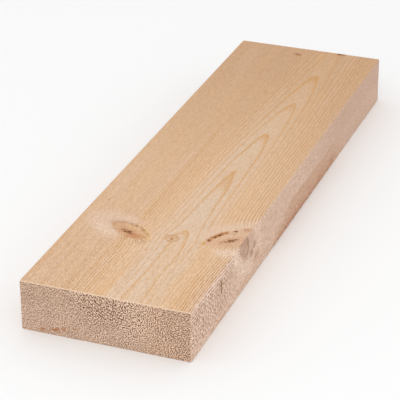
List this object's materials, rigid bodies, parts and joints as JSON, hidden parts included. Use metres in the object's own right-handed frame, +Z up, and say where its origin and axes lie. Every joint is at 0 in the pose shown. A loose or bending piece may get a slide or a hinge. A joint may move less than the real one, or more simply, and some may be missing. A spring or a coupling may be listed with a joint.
{
  "type": "timber plank",
  "caption": "Short length of planed softwood plank with a plain rectangular section, eased long edges and square-sawn ends.",
  "frame": {"origin": "middle of the bottom face", "axes": "+Y along the length towards the end nearer the top of the tree, +Z up through the thickness, +X across the width"},
  "size_m": [0.145, 0.525, 0.045],
  "materials": {
    "timber": "planed softwood, unfinished, with sawn ends"
  },
  "bodies": {
    "root": {"plank": "timber"}
  },
  "joints": []
}
